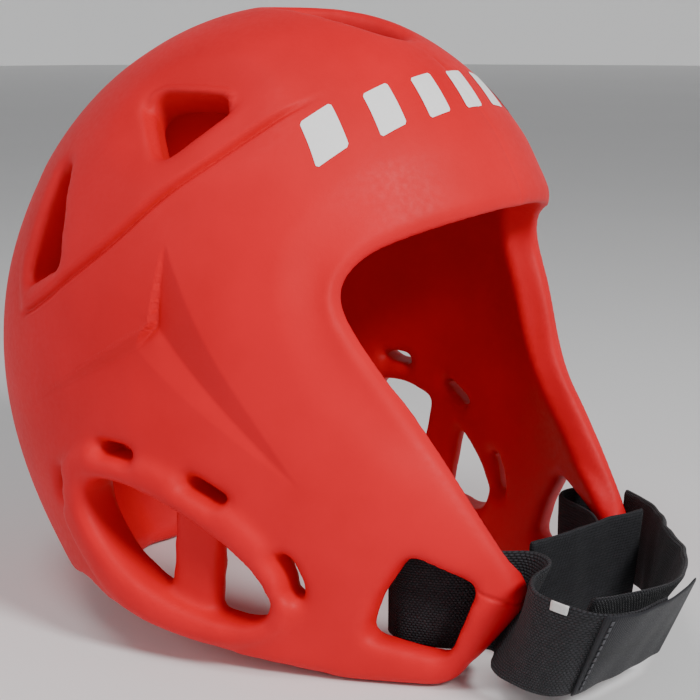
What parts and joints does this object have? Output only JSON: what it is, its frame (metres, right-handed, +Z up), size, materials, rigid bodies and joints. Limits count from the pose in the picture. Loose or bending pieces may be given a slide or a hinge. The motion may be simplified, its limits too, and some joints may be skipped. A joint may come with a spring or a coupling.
{
  "type": "foam head guard",
  "caption": "Moulded foam head guard with open face, vented crown, oval ear guards and a hook-and-loop chin strap through slots in the cheeks.",
  "frame": {"origin": "on the floor under the middle of the whole object's bounding box", "axes": "+Z up, the face looks along -Y, +X is the wearer's left"},
  "size_m": [0.227, 0.3305, 0.253],
  "materials": {
    "red_foam": "satin moulded skin",
    "white_print": "thin matt transfer film",
    "elastic_webbing": "coarse woven elastic",
    "hook_tape": "fine ribbed hook tape backing",
    "loop_webbing": "loop pile outside, fine plain weave inside",
    "tag": "woven label",
    "thread": "twisted sewing thread"
  },
  "bodies": {
    "guard": {"far_turn_webbing": "loop_webbing", "foam_shell": "red_foam", "forehead_print_bar_1": "white_print", "forehead_print_bar_2": "white_print", "forehead_print_bar_3": "white_print", "forehead_print_bar_4": "white_print", "forehead_print_bar_5": "white_print", "forehead_print_bar_6": "white_print", "forehead_print_bar_7": "white_print", "inner_chin_webbing": "loop_webbing", "near_anchor_webbing": "elastic_webbing"},
    "loop_strap": {"chin_strap_loop_pile": "loop_webbing"},
    "elastic_strap": {"chin_strap_elastic": "elastic_webbing", "tape_seam_stitches": "thread", "woven_tag": "tag"},
    "hook_tab": {"hook_tape": "hook_tape"}
  },
  "joints": [
    {"name": "elastic_strap_swing", "type": "hinge", "parent": "guard", "child": "elastic_strap", "pos_m": [-0.0512, -0.1212, 0.0305], "axis": [0, 0, 1], "range_deg": [-50, 0]},
    {"name": "hook_tab_peel", "type": "hinge", "parent": "elastic_strap", "child": "hook_tab", "pos_m": [-0.0417, -0.1553, 0.0305], "axis": [0, 0, 1], "range_deg": [-60, 0]},
    {"name": "loop_strap_swing", "type": "hinge", "parent": "guard", "child": "loop_strap", "pos_m": [0.0608, -0.0994, 0.0305], "axis": [0, 0, 1], "range_deg": [-6, 0]}
  ]
}
